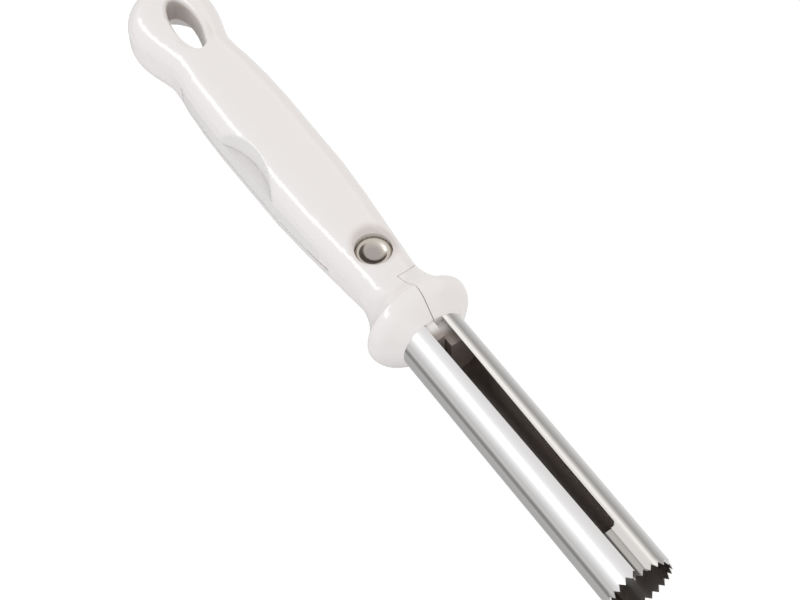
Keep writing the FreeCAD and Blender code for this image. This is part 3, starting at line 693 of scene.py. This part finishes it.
def makeRivet(name, title, shank, upsideDown=False):
    bm = bmesh.new()
    points = [bm.verts.new((radius, 0, height)) for radius, height in (*rivet["head"], *rivet[shank])]
    edges = [bm.edges.new(pair) for pair in zip(points, points[1:])]
    bmesh.ops.spin(
        bm, geom=points + edges, cent=(0, 0, 0), axis=(0, 0, 1), dvec=(0, 0, 0), angle=2 * math.pi,
        steps=rivet["steps"], use_merge=True,
    )
    joinPoints(bm)
    if upsideDown:
        bmesh.ops.rotate(bm, verts=bm.verts, cent=(0, 0, 0), matrix=Matrix.Rotation(math.pi, 3, "X"))
    bmesh.ops.translate(bm, verts=bm.verts, vec=(pivot, 0, 0))
    bmesh.ops.recalc_face_normals(bm, faces=bm.faces)
    shadeSmooth(bm)
    piece = placeMesh(bm, title, rivetMaterial)
    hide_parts(name)
    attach(piece, "handle")


makeRivet("rivet_barrel", "rivetBarrel", "barrel")
makeRivet("rivet_stud", "rivetStud", "stud", upsideDown=True)
print("pieces made")


# shades a value between two bounds by a list of places and tones
def toneRamp(tree, value, low, high, tones):
    spread = addNode(tree, "ShaderNodeMapRange")
    setInputs(spread, From_Min=low, From_Max=high)
    tree.links.new(value, spread.inputs["Value"])
    peak = max(tone for place, tone in tones)
    ramp = addNode(tree, "ShaderNodeValToRGB")
    elements = ramp.color_ramp.elements
    while len(elements) < len(tones):
        elements.new(0.5)
    for element, (place, tone) in zip(elements, tones):
        element.position = (place - low) / (high - low)
        element.color = (tone / peak, tone / peak, tone / peak, 1.0)
    tree.links.new(spread.outputs["Result"], ramp.inputs["Fac"])
    return product(tree, ramp.outputs["Color"], peak)


floor = {
    "size": 6.0,
    "colour": (0.95, 0.95, 0.95),
    "roughness": 0.9,
    "glow": 1.08,
    "shadowShare": 0.15,
    "shareInMetal": 0.8,
    # painted light and shade of the floor as the metal sees it, with a painted shadow beside the object,
    # against its place from the left to the right of the object
    "metalSpan": 0.4,
    "metalLightAndShade": (
        (-0.40, 0.80), (-0.12, 0.62), (-0.062, 0.70), (-0.050, 0.34), (-0.040, 0.10), (-0.032, 0.14),
        (-0.027, 0.50), (-0.016, 0.42), (0.0, 0.50), (0.022, 0.80), (0.031, 0.78), (0.062, 0.60),
        (0.17, 0.40), (0.40, 0.45),
    ),
}


def makeFloorMaterial():
    material, tree, shader = newMaterial("paleFloor")
    shader.inputs["Base Color"].default_value = (*floor["colour"], 1.0)
    shader.inputs["Roughness"].default_value = floor["roughness"]
    shader.inputs["Specular IOR Level"].default_value = 0.0
    seen = addNode(tree, "ShaderNodeLightPath").outputs
    # the camera sees an even glow with a share of the shadow left in it
    glow = addNode(tree, "ShaderNodeEmission")
    glow.inputs["Strength"].default_value = floor["glow"]
    blend = addNode(tree, "ShaderNodeMixShader")
    tree.links.new(product(tree, seen["Is Camera Ray"], 1.0 - floor["shadowShare"]), blend.inputs[0])
    tree.links.new(shader.outputs[0], blend.inputs[1])
    tree.links.new(glow.outputs[0], blend.inputs[2])
    # the metal mirrors a floor that glows with painted light and shade
    card = addNode(tree, "ShaderNodeEmission")
    aside = splitPlace(tree, objectPlace(tree))["Y"]
    span = floor["metalSpan"]
    tree.links.new(toneRamp(tree, aside, -span, span, floor["metalLightAndShade"]), card.inputs["Strength"])
    mirrored = mathNode(tree, "ADD", seen["Is Glossy Ray"], seen["Is Transmission Ray"], clamp=True)
    final = addNode(tree, "ShaderNodeMixShader")
    tree.links.new(product(tree, mirrored, floor["shareInMetal"]), final.inputs[0])
    tree.links.new(blend.outputs[0], final.inputs[1])
    tree.links.new(card.outputs[0], final.inputs[2])
    tree.links.new(final.outputs[0], tree.nodes["Material Output"].inputs["Surface"])
    return material


def makeFloor():
    bm = bmesh.new()
    bmesh.ops.create_grid(bm, x_segments=2, y_segments=2, size=floor["size"] / 2)
    bmesh.ops.translate(bm, verts=bm.verts, vec=(0, 0, cadBox[0].z))
    placeMesh(bm, "floor", makeFloorMaterial())


studio = {
    # brightness of the studio's walls and ceiling against the angle from overhead, left to right
    "wallTones": (
        (-180, 0.80), (-90, 0.82), (-78, 1.05), (-70, 1.27), (-62, 1.44), (-56, 1.44), (-49, 1.25),
        (-43, 1.12), (-36, 1.05), (-18, 0.95), (10, 0.92), (45, 0.90), (54, 0.97), (63, 1.27),
        (71, 0.84), (80, 0.50), (89, 0.40), (97, 0.62), (110, 0.72), (180, 0.70),
    ),
    # matt surfaces gather an evener light than the walls that the metal mirrors
    "evenTone": 0.84,
    "evenAside": 0.42,
    "evenShare": 0.85,
    # cooler light from the left, warmer from the right, between two angles from overhead
    "leftLight": (0.985, 0.985, 1.0),
    "rightLight": (1.0, 0.975, 0.95),
    "lightSpan": (-60.0, 70.0),
}


def makeWorld():
    world = bpy.data.worlds.new("studio")
    world.use_nodes = True
    tree = world.node_tree
    back = tree.nodes["Background"]
    seen = addNode(tree, "ShaderNodeLightPath").outputs
    look = splitPlace(tree, addNode(tree, "ShaderNodeTexCoord").outputs["Generated"])
    angle = mathNode(tree, "DEGREES", mathNode(tree, "ARCTAN2", look["Y"], look["Z"]))
    tone = toneRamp(tree, angle, -180, 180, studio["wallTones"])
    even = product(tree, seen["Is Diffuse Ray"], studio["evenShare"])
    aside = product(tree, mathNode(tree, "ABSOLUTE", look["Y"]), studio["evenAside"])
    apart = mathNode(tree, "SUBTRACT", mathNode(tree, "ADD", aside, studio["evenTone"]), tone)
    tone = mathNode(tree, "ADD", tone, product(tree, even, apart))
    side = softStep(tree, angle, *studio["lightSpan"])
    tint = mixColours(tree, side, studio["leftLight"], studio["rightLight"])
    # the camera itself sees plain white past the floor's edge
    tint = mixColours(tree, seen["Is Camera Ray"], tint, (1.0, 1.0, 1.0))
    white = product(tree, seen["Is Camera Ray"], mathNode(tree, "SUBTRACT", 1.0, tone))
    tree.links.new(tint, back.inputs["Color"])
    tree.links.new(mathNode(tree, "ADD", tone, white), back.inputs["Strength"])
    bpy.context.scene.world = world


# a long narrow panel to the left that follows the object's length and gives the crisp highlights
strip = {
    "aim": (-0.02, 0.0, 0.0),
    "bearing": (-0.477, -0.745, 0.466),
    "away": 1.0,
    "size": (1.15, 0.15),
    "power": 4.6,
}


def makeStrip():
    back = Vector(strip["bearing"]).normalized()
    along = (Vector((1, 0, 0)) - back * back.x).normalized()
    turned = Matrix((along, back.cross(along), back)).transposed().to_4x4()
    light = bpy.data.lights.new("ridgeLight", "AREA")
    light.shape = "RECTANGLE"
    light.size, light.size_y = strip["size"]
    light.energy = strip["power"]
    lamp = bpy.data.objects.new("ridgeLight", light)
    lamp.matrix_world = Matrix.Translation(Vector(strip["aim"]) + back * strip["away"]) @ turned
    lamp.visible_diffuse = False
    bpy.context.scene.collection.objects.link(lamp)


makeFloor()
makeWorld()
makeStrip()
print("stage and lights placed")


# the camera looks at a point of the tube's axis: lean is the angle between that axis and the sight line,
# turn is how far the view has gone round the axis, and the tube's direction on the picture is given
camera = {
    "axisPoint": -0.0157,
    "lean": 61.5,
    "turn": 21.0,
    "distance": 0.61,
    "focusPixels": 2287.0,
    "pictureWidth": 800,
    "sensorWidth": 36.0,
    "clip": (0.01, 50.0),
    "tubeDirection": (0.6435, 0.7655),
}


def makeCamera():
    lean = math.radians(camera["lean"])
    turn = math.radians(camera["turn"])
    along = Vector((math.sin(lean), math.cos(lean) * math.sin(turn), -math.cos(lean) * math.cos(turn)))
    across = Vector((0, math.cos(turn), math.sin(turn)))
    back = Vector((math.cos(lean), -math.sin(lean) * math.sin(turn), math.sin(lean) * math.cos(turn)))
    right, down = camera["tubeDirection"]
    side = right * along + down * across
    above = -down * along + right * across
    lens = bpy.data.cameras.new("camera")
    lens.sensor_width = camera["sensorWidth"]
    lens.lens = camera["focusPixels"] / camera["pictureWidth"] * camera["sensorWidth"]
    lens.clip_start, lens.clip_end = camera["clip"]
    eye = bpy.data.objects.new("camera", lens)
    place = Vector((camera["axisPoint"], 0, 0)) + back * camera["distance"]
    turned = Matrix((side.normalized(), above.normalized(), back.normalized())).transposed().to_4x4()
    eye.matrix_world = Matrix.Translation(place) @ turned
    bpy.context.scene.collection.objects.link(eye)
    bpy.context.scene.camera = eye


makeCamera()
bpy.context.scene.view_settings.view_transform = "Standard"
print("camera placed")
